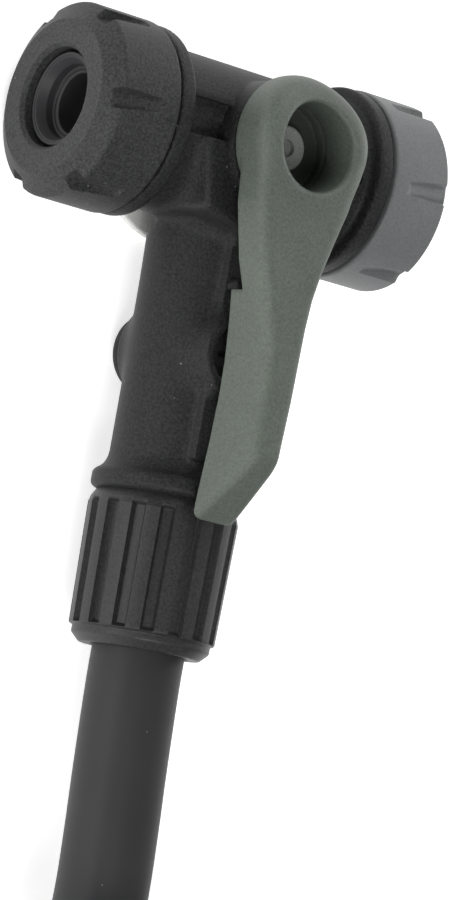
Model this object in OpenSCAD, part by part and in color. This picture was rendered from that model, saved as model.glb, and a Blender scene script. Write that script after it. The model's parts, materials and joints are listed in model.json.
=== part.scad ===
// Twin-valve tyre pump head on an air hose, lying on its back with the lever up.
// Origin: on the surface it lies on, under the middle of the head and stem.
// +X runs along the valve axis to the grey cap, +Y towards the head, +Z up.

/* [Head] */
// Outside diameter of both valve caps
cap_d = 25; // [25:0.5:30]
// Length of each valve cap along the valve axis
cap_len = 10.5; // [9.5:0.1:13]
// Distance between the inner ends of the two caps
cap_gap = 35.6; // [35:0.2:44]
// Diameter of the barrel between the flanges
barrel_d = 20.4; // [19.6:0.1:21.6]
// Width of each flange that a cap closes against
flange_w = 2.3; // [1.8:0.1:3]
// Diameter of the threaded spigots under the caps
spigot_d = 20.6; // [19.6:0.1:21]
// Clearance between a thread and its mate, on the radius
thread_gap = 0.2; // [0.1:0.05:0.3]
// Diameter of the opening in each cap's front wall
cap_mouth_d = 12.8; // [12.4:0.1:14]
// Number of finger notches round each cap
cap_notches = 6; // [4:1:9]

/* [Valve seals] */
// Bore of the gasket that grips a wide car valve
schrader_bore_d = 7.8; // [7.7:0.05:8.2]
// Bore of the gasket that grips a narrow bicycle valve
presta_bore_d = 6.1; // [6:0.05:6.4]
// Outside diameter of the gaskets and washers
gasket_d = 15.6; // [15:0.1:16]
// Thickness of the washer between plunger and gasket
washer_t = 1; // [0.6:0.1:1.4]

/* [Plunger and shaft] */
// Diameter of the plunger that slides inside the barrel
plunger_d = 11.9; // [11:0.1:12.4]
// Travel of the plunger to each side
plunger_travel = 1.5; // [1:0.1:1.6]
// Swing of the lever to each side, in degrees
lever_swing = 60; // [50:1:60]
// Diameter of the lever's shaft
shaft_d = 6; // [5.6:0.1:6.4]
// Diameter of the shaft's eccentric pin
eccentric_d = 2.9; // [2.2:0.1:3]
// Running clearance, on the radius
run_gap = 0.05; // [0.02:0.01:0.1]
// Clearance between separate pieces
gap = 0.3; // [0.15:0.05:0.5]

/* [Lever] */
// Diameter of the lever's round boss
boss_d = 17.4; // [16.6:0.1:19]
// Height of the lever's front face over the valve axis
lever_top = 18.7; // [18:0.1:21]
// Height of the boss's underside over the valve axis
boss_under = 12.2; // [11.9:0.1:13]
// Height of the arm's underside over the valve axis
arm_under = 13.4; // [12.6:0.1:14.5]
// Height of the finger bar's underside over the valve axis
bar_under = 11.2; // [11:0.1:12]
// Distance from the pivot to the lever's tip
lever_reach = 48.6; // [44:0.1:54]
// Width of the finger bar's front strip
bar_front_w = 3.4; // [3:0.1:5]
// Width of the finger bar at its underside
bar_back_w = 5.6; // [4.6:0.1:7]
// Diameter of the round recess in the boss
recess_d = 11.2; // [10:0.1:12]

/* [Stem] */
// Diameter of the stem above the collar
stem_d = 15; // [14:0.1:16]
// Diameter of the stem where it meets the barrel
stem_root_d = 16.6; // [16:0.1:17.6]
// Distance from the valve axis to the stem's lower end
stem_len = 45; // [42:0.1:52]
// Diameter of the ring at the stem's lower end
stem_ring_d = 19.2; // [18.6:0.1:20]
// Diameter of the air passage
air_d = 4.4; // [3:0.1:5]
// Distance from the valve axis to the bleed button
bleed_reach = 26.8; // [25:0.1:30]
// Diameter of the bleed button
button_d = 10.2; // [9.4:0.1:10.6]
// Travel of the bleed button
button_travel = 1.8; // [1:0.1:2]

/* [Collar nut] */
// Diameter of the collar nut
nut_d = 18.7; // [18.4:0.1:20]
// Length of the collar nut
nut_len = 19.6; // [19:0.1:22]
// Number of grip grooves round the collar nut
nut_grooves = 16; // [12:1:20]

/* [Hose] */
// Outside diameter of the hose
hose_d = 12; // [11.6:0.1:12.2]
// Inside diameter of the hose
hose_bore_d = 6.5; // [6:0.1:7]
// Diameter of the stored coil at the middle of its turns
coil_d = 120; // [116:1:126]
// Width across the flats of the end nut
end_nut_flats = 14; // [13.4:0.1:14.6]
// Thread bore of the end nut
end_thread_d = 8.6; // [8.4:0.05:8.8]

/* [Hidden] */
$fn = 64;
facets = 12;
cap_r = cap_d / 2;
cap_in = cap_gap / 2;
cap_out = cap_in + cap_len;
cap_wall = 4;
cap_face_r = cap_r - 2.6;
cap_taper = 1.7;
flange_out = cap_in - gap;
flange_in = flange_out - flange_w;
flange_r = cap_r - 0.2;
barrel_r = barrel_d / 2;
spigot_r = spigot_d / 2;
cap_floor = cap_out - cap_wall;
notch_len = cap_len - 2.7;
notch_w = 2;
notch_end_depth = 0.35;
notch_slope = 7;
spigot_out = cap_floor - gap;
gasket_r = gasket_d / 2;
chamber_r = gasket_r + 0.2;
chamber_in = flange_in - gap;
washer_in = chamber_in + 0.1;
gasket_in = washer_in + washer_t + 0.1;
gasket_shoulder = cap_floor - 0.1;
nose_r = cap_mouth_d / 2 - 0.4;
nose_out = cap_out - 1.3;
hole_out = nose_out - 2.6;
plunger_r = plunger_d / 2;
bore_r = plunger_r + run_gap;
plunger_half = washer_in - plunger_travel - 0.2;
shaft_r = shaft_d / 2;
shaft_bore_r = shaft_r + run_gap;
eccentric_r = eccentric_d / 2;
eccentric_throw = plunger_travel / sin(lever_swing);
slot_gap = 0.2;
eccentric_half = 2.8;
shaft_seat = barrel_r - 0.9;
ring_top = boss_under - gap;
ring_r = boss_d / 2 - 0.1;
wing_x = ring_r + 3.1;
front_boss_top = ring_top - 0.4;
pocket_low = -1.2;
pocket_high = 3.5;
pocket_floor = barrel_r - 1.4;
hub_r = recess_d / 2 + 1.2;
hub_under = shaft_seat + gap;
web_top = hub_under + 1.3;
drive_w = 4.2;
screw_r = 1.2;
screw_head_r = 2.9;
screw_head_t = 1.1;
screw_len = 6;
disc_r = 12;
disc_in = barrel_r + 0.2;
disc_t = 1.5;
seal_t = 1.2;
seal_in_r = shaft_r - 0.8;
seal_at = shaft_seat - 1.6;
arm_end = 19;
tip_cut = lever_reach - 8.6;
bar_right = 2.1;
nub_x = -2.2;
stem_r = stem_d / 2;
stem_root_r = stem_root_d / 2;
ring_len = 1.6;
air_r = air_d / 2;
socket_r = 4.6;
socket_at = stem_len - 1.5;
thread_r = stem_r + 0.1;
thread_len = 12;
button_r = button_d / 2;
button_boss_r = button_r + 0.7;
button_boss_out = stem_r + 0.7;
button_out = button_boss_out + 2.1;
button_cap_t = 1.7;
plunge_r = 2.95;
plunge_bore_r = plunge_r + run_gap;
plunge_top = 0.6;
plug_r = 3.6;
plug_in = 4.1;
plug_out = button_boss_out - 0.3;
plug_boss_r = plug_r + 1.3;
plug_boss_out = stem_r + 2.1;
nut_r = nut_d / 2;
nut_at = stem_len + 0.4;
nut_end = nut_at + nut_len;
nut_collar = 2.3;
nut_in_r = thread_r + thread_gap;
nut_shoulder = stem_len + thread_len + 1.2;
hose_r = hose_d / 2;
hose_in_r = hose_bore_d / 2;
sleeve_in = nut_shoulder + 0.4;
sleeve_r = hose_r + 0.9;
sleeve_end = nut_end - 1.2;
tail_r = hose_in_r - 0.05;
end_thread_r = end_thread_d / 2;
// The frame: the head's axes meet at [0, head_y, cap_r]
head_y = (nut_end - cap_r) / 2;
// The hose's route, measured from the place where the valve and stem axes meet
lay_z = hose_r - cap_r;
coil_r = coil_d / 2;
end_x = 20;
end_y = -108;
end_z = 12.1;
coil_x = coil_r;
coil_y = end_y - coil_r;
// Each row of the lead is distance along, drift to +X and share of the way down to the floor
lead_rows = [
    [68, 0, 0], [72, 0.1, 0], [80, 0.4, 0], [88, 0.8, 0], [96, 1.2, 0.04], [104, 1.5, 0.2], [112, 1.6, 0.46],
    [120, 1.5, 0.74], [128, 1.1, 0.92], [136, 0.7, 0.99], [144, 0.3, 1], [152, 0.1, 1], [160, 0, 1]
];
lead_points = concat(
    [[0, -nut_end, 0]],
    [for (row = lead_rows) [row[1], -row[0], row[2] * lay_z]],
    [[0, coil_y, lay_z]]
);
tail_points = [
    [coil_x, end_y, lay_z + hose_d], [52, end_y, 5.9], [44, end_y, 7.4], [36, end_y, 9.7],
    [29, end_y, 11.4], [24, end_y, end_z], [15, end_y, end_z], [6, end_y, end_z]
];
coil_h = 2 * hose_d;
tie_w = 16;
tie_t = 0.8;
ferrule_len = 18;
ferrule_r = 7;
end_nut_at = ferrule_len + 1;
end_nut_len = 14;
end_hex_r = end_nut_flats / 2 / cos(30);
end_neck_r = 3.6;
end_relief = 7;

module placed() {
    translate([0, head_y, cap_r]) children();
}

// Turns a shape that stands on +Z so that it points along +X
module along_x() {
    rotate([0, 90, 0]) children();
}

// Turns a shape that stands on +Z so that it points along -Y, down the stem
module down_stem() {
    rotate([90, 0, 0]) children();
}

module on_left() {
    mirror([1, 0, 0]) children();
}

module disc_between(low, high, radius) {
    translate([0, 0, low]) cylinder(h = high - low, r = radius);
}

// A round ring with softened outer edges, standing on +Z
module soft_ring(low, high, inner, outer, edge) {
    rotate_extrude()
        polygon([
            [inner, low], [outer - edge, low],
            for (a = [-67.5:22.5:-22.5]) [outer - edge + edge * cos(a), low + edge + edge * sin(a)],
            [outer, low + edge], [outer, high - edge],
            for (a = [22.5:22.5:67.5]) [outer - edge + edge * cos(a), high - edge + edge * sin(a)],
            [outer - edge, high], [inner, high]
        ]);
}

// Head: barrel, flanges and spigots round the valve axis, as one turned outline
module barrel_solid() {
    along_x() rotate_extrude()
        polygon([
            [0, -spigot_out], [spigot_r - 0.5, -spigot_out], [spigot_r, -spigot_out + 0.5],
            [spigot_r, -flange_out], [flange_r - 0.3, -flange_out], [flange_r, -flange_out + 0.3],
            [flange_r, -flange_in - 0.9], [flange_r - 0.3, -flange_in - 0.3], [flange_r - 0.9, -flange_in],
            [barrel_r + 0.6, -flange_in], [barrel_r, -flange_in + 0.6],
            [barrel_r, flange_in - 0.6], [barrel_r + 0.6, flange_in],
            [flange_r - 0.9, flange_in], [flange_r - 0.3, flange_in + 0.3], [flange_r, flange_in + 0.9],
            [flange_r, flange_out - 0.3], [flange_r - 0.3, flange_out],
            [spigot_r, flange_out], [spigot_r, spigot_out - 0.5], [spigot_r - 0.5, spigot_out],
            [0, spigot_out]
        ]);
}

module stem_solid() {
    down_stem() rotate_extrude()
        polygon([
            [0, 0], [stem_root_r + 0.4, 0], [stem_root_r + 0.2, barrel_r + 2], [stem_root_r, barrel_r + 6],
            [stem_r, bleed_reach + 6], [stem_r, stem_len - 4],
            [stem_ring_d / 2 - 0.4, stem_len - ring_len - 0.6], [stem_ring_d / 2, stem_len - ring_len],
            [stem_ring_d / 2, stem_len - 0.3], [stem_ring_d / 2 - 0.3, stem_len],
            [thread_r, stem_len], [thread_r, stem_len + thread_len - 0.5],
            [thread_r - 0.5, stem_len + thread_len], [0, stem_len + thread_len]
        ]);
}

// Raised strip along the front of the stem, under the lever, with the lever's detent nub
module front_rail() {
    rail_top = stem_r + 1;
    translate([nub_x, -arm_end + 0.9, 0]) disc_between(0, bar_under - 0.6, 1.2);
    translate([-3, -stem_len + 4.4, 0]) cube([6, stem_len - 4.4 - barrel_r + 2, rail_top]);
}

// Raised front of the barrel below the pockets, with slanted sides
module front_wings() {
    linear_extrude(front_boss_top)
        polygon([
            [-wing_x, pocket_low], [-wing_x + 1.8, -ring_r - 1.3], [-wing_x + 6, -ring_r - 2.5],
            [wing_x - 6, -ring_r - 2.5], [wing_x - 1.8, -ring_r - 1.3], [wing_x, pocket_low]
        ]);
}

// Shallow pocket in the barrel's front, running in to the round boss
module side_pocket() {
    translate([ring_r - 2, pocket_low - 0.1, pocket_floor])
        cube([flange_in - ring_r + 0.9, pocket_high - pocket_low, 4]);
}

module bleed_bosses() {
    translate([0, -bleed_reach, 0]) disc_between(-button_boss_out, 0, button_boss_r);
    translate([0, -bleed_reach, 0]) disc_between(0, plug_boss_out, plug_boss_r);
}

// Air chamber at one end, for washer and gasket
module seal_chamber() {
    along_x() disc_between(chamber_in, spigot_out + 1, chamber_r);
}

module head_body() {
    color([0.13, 0.13, 0.14]) placed() difference() {
        union() {
            difference() {
                union() {
                    barrel_solid();
                    stem_solid();
                    front_rail();
                    bleed_bosses();
                    front_wings();
                }
                side_pocket();
                on_left() side_pocket();
            }
            disc_between(0, ring_top, ring_r);
        }
        along_x() disc_between(-chamber_in - 1, chamber_in + 1, bore_r);
        seal_chamber();
        on_left() seal_chamber();
        disc_between(shaft_seat, ring_top + 1, hub_r + gap);
        disc_between(-barrel_r - 1, shaft_seat + 1, shaft_bore_r);
        down_stem() disc_between(0, socket_at + 1, air_r);
        down_stem() disc_between(socket_at, stem_len + thread_len + 1, socket_r);
        translate([0, -bleed_reach, 0]) {
            disc_between(-button_boss_out - 1, plug_in, plunge_bore_r);
            disc_between(-button_boss_out - 1, -button_boss_out + button_travel + 0.3, button_r + 0.2);
            disc_between(plug_in - 0.1, plug_boss_out + 1, plug_r + run_gap);
        }
    }
}

// Caps: a turned shell with finger notches in its rim
module cap_shell() {
    difference() {
        along_x() rotate_extrude()
            polygon([
                [spigot_r + thread_gap, cap_in], [cap_r - 0.4, cap_in], [cap_r, cap_in + 0.4],
                [cap_r, cap_out - cap_taper - 0.3], [cap_r - 0.3, cap_out - cap_taper + 0.1],
                [cap_face_r, cap_out], [cap_mouth_d / 2 + 0.5, cap_out],
                [cap_mouth_d / 2, cap_out - 0.5], [cap_mouth_d / 2, cap_floor],
                [spigot_r + thread_gap, cap_floor]
            ]);
        for (k = [0:cap_notches - 1])
            rotate([k * 360 / cap_notches, 0, 0])
                translate([cap_out - notch_len, -notch_w / 2, cap_r - notch_end_depth])
                    rotate([0, notch_slope, 0])
                        cube([cap_len, notch_w, 5]);
    }
}

module schrader_cap() {
    color([0.12, 0.12, 0.13]) placed() on_left() cap_shell();
}

module presta_cap() {
    color([0.37, 0.38, 0.38]) placed() cap_shell();
}

// Gaskets: a thick rubber ring with a nose that shows in the cap's mouth
module gasket(bore_d) {
    hole = bore_d / 2;
    along_x() rotate_extrude()
        polygon([
            [hole, gasket_in], [gasket_r, gasket_in], [gasket_r, gasket_shoulder],
            [nose_r, gasket_shoulder], [nose_r, nose_out - 0.3], [nose_r - 0.3, nose_out],
            [hole + 1.5, nose_out], [hole + 0.8, nose_out - 1.3], [hole + 0.8, hole_out], [hole, hole_out]
        ]);
}

module schrader_gasket() {
    color([0.07, 0.07, 0.07]) placed() on_left() gasket(schrader_bore_d);
}

module presta_gasket() {
    color([0.07, 0.07, 0.07]) placed() gasket(presta_bore_d);
}

module washer_ring() {
    along_x() difference() {
        disc_between(washer_in, washer_in + washer_t, gasket_r);
        disc_between(washer_in - 1, washer_in + washer_t + 1, schrader_bore_d / 2 + 0.5);
    }
}

module gasket_washers() {
    color([0.75, 0.76, 0.78]) placed() {
        washer_ring();
        on_left() washer_ring();
    }
}

// Plunger: slides along the barrel and squeezes one gasket or the other
module plunger() {
    slot_x = eccentric_r + slot_gap;
    slot_back = eccentric_throw + eccentric_r + 0.4;
    slot_front = eccentric_r + 0.4;
    window_x = window_end();
    window_y = shaft_r + gap;
    web_half = eccentric_half - 0.2;
    color([0.86, 0.86, 0.82]) placed() difference() {
        along_x() disc_between(-plunger_half, plunger_half, plunger_r);
        translate([-slot_x, -slot_back, -plunger_r - 1])
            cube([2 * slot_x, slot_back + slot_front, 2 * plunger_r + 2]);
        for (side = [-1, 1])
            translate([-window_x, -window_y, side > 0 ? web_half : -plunger_r - 1])
                cube([2 * window_x, 2 * window_y, plunger_r + 1 - web_half]);
        along_x() disc_between(0, plunger_half + 1, 2);
        along_x() disc_between(-plunger_half - 1, 0, 1.52);
    }
}

// Pin that opens a car valve's core, held in the plunger
module core_pin() {
    color([0.78, 0.62, 0.28]) placed() on_left() along_x() difference() {
        union() {
            disc_between(slot_reach(), plunger_half + 0.5, 1.5);
            disc_between(plunger_half, plunger_half + 2.2, 1.1);
        }
        translate([0.9, -3, slot_reach() - 1]) cube([2, 6, plunger_half]);
    }
}

function slot_reach() = window_end() + 0.5;

function window_end() = shaft_r + plunger_travel + gap;

// Shaft: turns with the lever, its eccentric pin drives the plunger
module cam_shaft() {
    groove = seal_t + 0.2;
    color([0.62, 0.63, 0.65]) placed() difference() {
        union() {
            disc_between(-disc_in - 0.1, -eccentric_half, shaft_r);
            translate([0, -eccentric_throw, 0]) disc_between(-eccentric_half - 0.5, eccentric_half + 0.5, eccentric_r);
            disc_between(eccentric_half, shaft_seat + 0.2, shaft_r);
            translate([-drive_w / 2, -drive_w / 2, shaft_seat]) cube([drive_w, drive_w, web_top - shaft_seat - 0.1]);
            disc_between(-disc_in - 0.9, -disc_in, 2.4);
        }
        for (middle = [-seal_at, seal_at])
            translate([0, 0, middle - groove / 2]) difference() {
                cylinder(h = groove, r = shaft_r + 1);
                translate([0, 0, -1]) cylinder(h = groove + 2, r = seal_in_r);
            }
        disc_between(web_top - screw_len, web_top + 1, screw_r + run_gap);
    }
}

module shaft_seals() {
    color([0.06, 0.06, 0.06]) placed()
        for (middle = [-seal_at, seal_at])
            translate([0, 0, middle - seal_t / 2])
                soft_ring(0, seal_t, seal_in_r + 0.02, shaft_bore_r - 0.02, 0.3);
}

// Lever outline seen from the front: round boss, tapering arm, slim bar
module lever_outline() {
    r = boss_d / 2;
    bar_left = bar_right - bar_back_w - 1;
    circle(r = r);
    polygon([
        [-r * cos(14), -r * sin(14)], [0, r / 2], [r * cos(14), -r * sin(14)],
        [6.6, -7.4], [5, -11.6], [3.9, -15.1], [3.1, -18.4], [bar_right + 0.6, -22],
        [bar_right + 0.4, -31], [bar_right - 0.1, -lever_reach - 1], [bar_left, -lever_reach - 1], [bar_left, -24],
        [-4.2, -20.3], [-5.7, -15.6], [-7.4, -8.5]
    ]);
}

// Lever outline seen from the side, as [distance down the stem, height]
module lever_side() {
    polygon([
        [-boss_d, boss_under], [boss_d / 2 - 0.5, boss_under], [boss_d / 2 + 1.2, arm_under],
        [arm_end - 0.6, arm_under], [arm_end, arm_under - 0.6], [arm_end, bar_under + 0.5],
        [arm_end + 0.5, bar_under], [lever_reach - 1.9, bar_under - 0.1], [lever_reach - 0.5, bar_under + 0.2],
        [lever_reach, bar_under + 0.7], [lever_reach - 0.2, bar_under + 1.1],
        [tip_cut + 0.7, lever_top - 0.6], [tip_cut - 0.5, lever_top], [-boss_d, lever_top]
    ]);
}

module lever() {
    lean = (bar_back_w - bar_front_w) / (lever_top - bar_under);
    low = bar_under - 2;
    high = lever_top + 2;
    low_left = bar_right - bar_back_w - 2 * lean;
    high_left = bar_right - bar_front_w + 2 * lean;
    wide = boss_d;
    lean_from = arm_end + 3;
    color([0.34, 0.37, 0.32]) placed() difference() {
        union() {
            intersection() {
                translate([0, 0, low]) linear_extrude(high - low) lever_outline();
                rotate([90, 0, -90]) translate([0, 0, -wide]) linear_extrude(2 * wide) lever_side();
                // The bar's left wall leans in towards the front strip
                union() {
                    translate([-wide, -lean_from, 0]) cube([2 * wide, lean_from + boss_d, high]);
                    down_stem() linear_extrude(lever_reach + 2)
                        polygon([[low_left, low], [wide, low], [wide, high], [high_left, high]]);
                }
            }
            disc_between(hub_under, boss_under + 0.5, hub_r);
        }
        disc_between(web_top, lever_top + 1, recess_d / 2);
        translate([-drive_w / 2 - 0.05, -drive_w / 2 - 0.05, hub_under - 1])
            cube([drive_w + 0.1, drive_w + 0.1, 4]);
    }
}

module lever_screw() {
    color([0.2, 0.2, 0.21]) placed() difference() {
        union() {
            soft_ring(web_top + 0.05, web_top + screw_head_t, 0, screw_head_r, 0.35);
            disc_between(web_top - screw_len + 0.4, web_top + 0.3, screw_r);
        }
        disc_between(web_top + 0.5, web_top + 2, 1.1);
    }
}

// Disc on the shaft's rear end
module rear_disc() {
    color([0.4, 0.41, 0.41]) placed() difference() {
        rotate([180, 0, 0]) soft_ring(disc_in + 0.15, disc_in + disc_t, 0, disc_r, 0.4);
        disc_between(-disc_in - 1, -disc_in + 1, 2.45);
    }
}

module bleed_button() {
    color([0.15, 0.15, 0.16]) placed() translate([0, -bleed_reach, 0]) difference() {
        union() {
            translate([0, 0, -button_out]) soft_ring(0, button_cap_t, 0, button_r, 0.6);
            disc_between(-button_out + 0.8, plunge_top, plunge_r);
        }
        translate([0, 0, -3.2]) difference() {
            cylinder(h = 1.2, r = plunge_r + 1);
            translate([0, 0, -1]) cylinder(h = 4, r = 2.2);
        }
        translate([0, 0, -1.4]) difference() {
            cylinder(h = 1.2, r = plunge_r + 1);
            translate([0, 0, -1]) cylinder(h = 4, r = 1.6);
        }
    }
}

module bleed_seal() {
    color([0.06, 0.06, 0.06]) placed() translate([0, -bleed_reach, -3.1])
        soft_ring(0, 1, 2.22, plunge_bore_r - 0.02, 0.25);
}

// Spring between the button and the plug, as its outer shape
module bleed_spring() {
    color([0.7, 0.71, 0.73]) placed() translate([0, -bleed_reach, 0]) difference() {
        disc_between(plunge_top + 0.02, plug_in - 0.02, 2.6);
        disc_between(plunge_top - 1, plug_in + 1, 1.9);
    }
}

module bleed_plug() {
    color([0.13, 0.13, 0.14]) placed() translate([0, -bleed_reach, 0]) difference() {
        soft_ring(plug_in + 0.02, plug_out, 0, plug_r, 0.3);
        translate([-2, -0.4, plug_out - 0.8]) cube([4, 0.8, 2]);
    }
}

module stem_seal() {
    color([0.06, 0.06, 0.06]) placed() down_stem()
        soft_ring(socket_at + 3.1, socket_at + 4.3, 3.62, socket_r - 0.02, 0.3);
}

// Barb: seals in the stem, carries the hose on its tail
module hose_barb() {
    flange_r2 = thread_r - 0.4;
    color([0.78, 0.62, 0.28]) placed() down_stem() rotate_extrude()
        polygon([
            [1.6, socket_at + 0.4], [socket_r - 0.06, socket_at + 0.4], [socket_r - 0.06, socket_at + 3],
            [3.6, socket_at + 3], [3.6, socket_at + 4.4], [socket_r - 0.06, socket_at + 4.4],
            [socket_r - 0.06, stem_len + thread_len + 0.1], [flange_r2, stem_len + thread_len + 0.1],
            [flange_r2, nut_shoulder - 0.1], [tail_r, nut_shoulder - 0.1], [tail_r, sleeve_end - 0.6],
            [tail_r - 0.5, sleeve_end], [1.6, sleeve_end]
        ]);
}

// The hose's last stretch, pushed over the barb inside the nut
module hose_end() {
    color([0.1, 0.1, 0.1]) placed() down_stem() difference() {
        disc_between(sleeve_in, nut_end, hose_r);
        disc_between(sleeve_in - 1, nut_end + 1, hose_in_r);
    }
}

module hose_collet() {
    color([0.8, 0.8, 0.78]) placed() down_stem() difference() {
        disc_between(sleeve_in, sleeve_end, sleeve_r);
        disc_between(sleeve_in - 1, sleeve_end + 1, hose_r + 0.05);
        for (turn = [0:90:270])
            rotate([0, 0, turn]) translate([hose_r - 1, -0.4, sleeve_end - 3]) cube([3, 0.8, 4]);
    }
}

module collar_nut() {
    groove_from = nut_at + 1.6;
    groove_to = nut_end - nut_collar;
    color([0.12, 0.12, 0.13]) placed() down_stem() difference() {
        rotate_extrude()
            polygon([
                [nut_in_r, nut_at], [nut_r - 1, nut_at], [nut_r - 0.3, nut_at + 1.1], [nut_r, nut_at + 1.8],
                [nut_r, groove_to], [nut_r - 0.5, groove_to + 0.3], [nut_r - 0.5, nut_end - 1.2],
                [nut_r - 0.8, nut_end - 0.5], [nut_r - 1.6, nut_end],
                [hose_r + gap, nut_end], [hose_r + gap, sleeve_end + 0.2],
                [sleeve_r + 0.15, sleeve_end + 0.2], [sleeve_r + 0.15, nut_shoulder + 0.2],
                [nut_in_r, nut_shoulder + 0.2]
            ]);
        for (k = [0:nut_grooves - 1])
            rotate([0, 0, (k + 0.5) * 360 / nut_grooves])
                translate([nut_r - 0.7, -0.8, groove_from]) cube([2, 1.6, groove_to - groove_from]);
    }
}

// Hose: a tube swept along a list of points, each ring square to the route
function unit(v) = v / norm(v);

function heading(points, k) =
    unit(points[min(k + 1, len(points) - 1)] - points[max(k - 1, 0)]);

function ring_points(points, k) =
    let (t = heading(points, k), side = unit(cross(t, [0, 0, 1])), up = cross(side, t))
    [for (j = [0:facets - 1]) points[k] + hose_r * (cos(j * 360 / facets) * side + sin(j * 360 / facets) * up)];

module swept_hose(points) {
    rings = len(points);
    polyhedron(
        points = [for (k = [0:rings - 1]) each ring_points(points, k)],
        faces = concat(
            [[for (j = [0:facets - 1]) j]],
            [for (k = [0:rings - 2]) for (j = [0:facets - 1]) [
                k * facets + j, (k + 1) * facets + j,
                (k + 1) * facets + (j + 1) % facets, k * facets + (j + 1) % facets
            ]],
            [[for (j = [facets - 1:-1:0]) (rings - 1) * facets + j]]
        ),
        convexity = 4
    );
}

module hose_lead() {
    color([0.1, 0.1, 0.1]) placed() swept_hose(lead_points);
}

module tie_space(room) {
    translate([coil_x, coil_y - coil_r, -cap_r])
        translate([-tie_w / 2 - room, -hose_r - tie_t - room, -room])
            cube([tie_w + 2 * room, hose_d + 2 * tie_t + 2 * room, coil_h + 2 * tie_t + 2 * room]);
}

// Outer shape of the hose's stored turns
module hose_coil() {
    color([0.1, 0.1, 0.1]) placed() difference() {
        translate([coil_x, coil_y, -cap_r]) rotate_extrude()
            polygon([
                [coil_r - hose_r, 3], [coil_r - 3, 0.01], [coil_r + 3, 0.01], [coil_r + hose_r, 3],
                [coil_r + hose_r, coil_h - 3], [coil_r + 3, coil_h], [coil_r - 3, coil_h],
                [coil_r - hose_r, coil_h - 3]
            ]);
        tie_space(0.1);
    }
}

module hose_tail() {
    color([0.1, 0.1, 0.1]) placed() swept_hose(tail_points);
}

// Strap round the stored turns, with the turns' stretch inside it
module coil_tie() {
    color([0.05, 0.05, 0.05]) placed() difference() {
        tie_space(0);
        translate([coil_x - tie_w, coil_y - coil_r - hose_r, tie_t - cap_r])
            cube([2 * tie_w, hose_d, coil_h]);
    }
}

// End fitting, lying on the coil and pointing along -X
module at_hose_end() {
    placed() translate([end_x, end_y, end_z]) on_left() along_x() children();
}

module end_ferrule() {
    color([0.72, 0.73, 0.75]) at_hose_end() difference() {
        soft_ring(0, ferrule_len, 0, ferrule_r, 0.6);
        disc_between(-1, ferrule_len - 1.5, hose_r + 0.05);
        disc_between(0, ferrule_len + 1, end_neck_r);
    }
}

module end_barb() {
    neck_from = ferrule_len - 1.5;
    color([0.78, 0.62, 0.28]) at_hose_end() rotate_extrude()
        polygon([
            [1.6, neck_from + 0.05], [end_neck_r - 0.05, neck_from + 0.05],
            [end_neck_r - 0.05, end_nut_at + 3.2], [end_thread_r - 0.2, end_nut_at + 3.2],
            [end_thread_r - 0.2, end_nut_at + 5.4], [1.6, end_nut_at + 5.4]
        ]);
}

module end_washer() {
    color([0.06, 0.06, 0.06]) at_hose_end() difference() {
        disc_between(end_nut_at + 5.45, end_nut_at + 6.9, end_thread_r - 0.15);
        disc_between(end_nut_at, end_nut_at + 9, 2);
    }
}

module end_nut() {
    color([0.76, 0.77, 0.79]) at_hose_end() difference() {
        intersection() {
            disc_between(end_nut_at, end_nut_at + end_nut_len, end_hex_r - 0.25);
            translate([0, 0, end_nut_at]) rotate([0, 0, 30]) cylinder(h = end_nut_len, r = end_hex_r, $fn = 6);
        }
        disc_between(end_nut_at - 1, end_nut_at + 4, end_neck_r);
        disc_between(end_nut_at + 3, end_nut_at + end_relief, end_thread_r + 0.4);
        disc_between(end_nut_at + end_relief - 1, end_nut_at + end_nut_len + 1, end_thread_r);
    }
}

head_body();
schrader_cap();
presta_cap();
schrader_gasket();
presta_gasket();
gasket_washers();
plunger();
core_pin();
cam_shaft();
shaft_seals();
lever();
lever_screw();
rear_disc();
bleed_button();
bleed_seal();
bleed_spring();
bleed_plug();
stem_seal();
hose_barb();
hose_end();
hose_collet();
collar_nut();
hose_lead();
hose_coil();
hose_tail();
coil_tie();
end_ferrule();
end_barb();
end_washer();
end_nut();
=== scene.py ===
import json
import math
import bpy
import numpy as np
from mathutils import Matrix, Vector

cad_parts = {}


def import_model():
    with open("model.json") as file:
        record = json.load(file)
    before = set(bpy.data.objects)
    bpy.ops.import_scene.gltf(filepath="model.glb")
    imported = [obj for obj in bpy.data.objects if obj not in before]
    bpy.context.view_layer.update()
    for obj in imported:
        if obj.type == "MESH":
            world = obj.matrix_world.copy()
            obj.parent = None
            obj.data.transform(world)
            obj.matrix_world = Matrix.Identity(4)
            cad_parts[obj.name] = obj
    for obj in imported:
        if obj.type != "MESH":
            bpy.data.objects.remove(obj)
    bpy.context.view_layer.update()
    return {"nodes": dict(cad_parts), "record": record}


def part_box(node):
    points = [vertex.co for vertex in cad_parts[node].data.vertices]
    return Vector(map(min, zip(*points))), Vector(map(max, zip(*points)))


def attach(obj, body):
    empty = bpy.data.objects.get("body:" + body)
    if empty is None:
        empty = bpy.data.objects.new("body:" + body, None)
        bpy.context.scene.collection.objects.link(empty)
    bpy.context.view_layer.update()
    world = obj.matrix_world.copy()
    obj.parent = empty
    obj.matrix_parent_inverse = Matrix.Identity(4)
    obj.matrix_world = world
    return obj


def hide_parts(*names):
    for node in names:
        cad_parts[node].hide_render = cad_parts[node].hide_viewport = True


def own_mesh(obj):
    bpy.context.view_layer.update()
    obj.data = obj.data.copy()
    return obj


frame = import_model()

mm = 0.001


def jointPlace(name):
    joints = frame["record"]["behaviour"]["joints"]
    return np.array(next(j for j in joints if j["name"] == name)["pos_m"])


# The valve axis, the lever's pivot and the stem's axis all cross at headCentre.
# Shapes are worked out in millimetres about it and then moved into the frame.
headCentre = jointPlace("lever_swing")


def world(points):
    return np.asarray(points, float) * mm + headCentre


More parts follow.
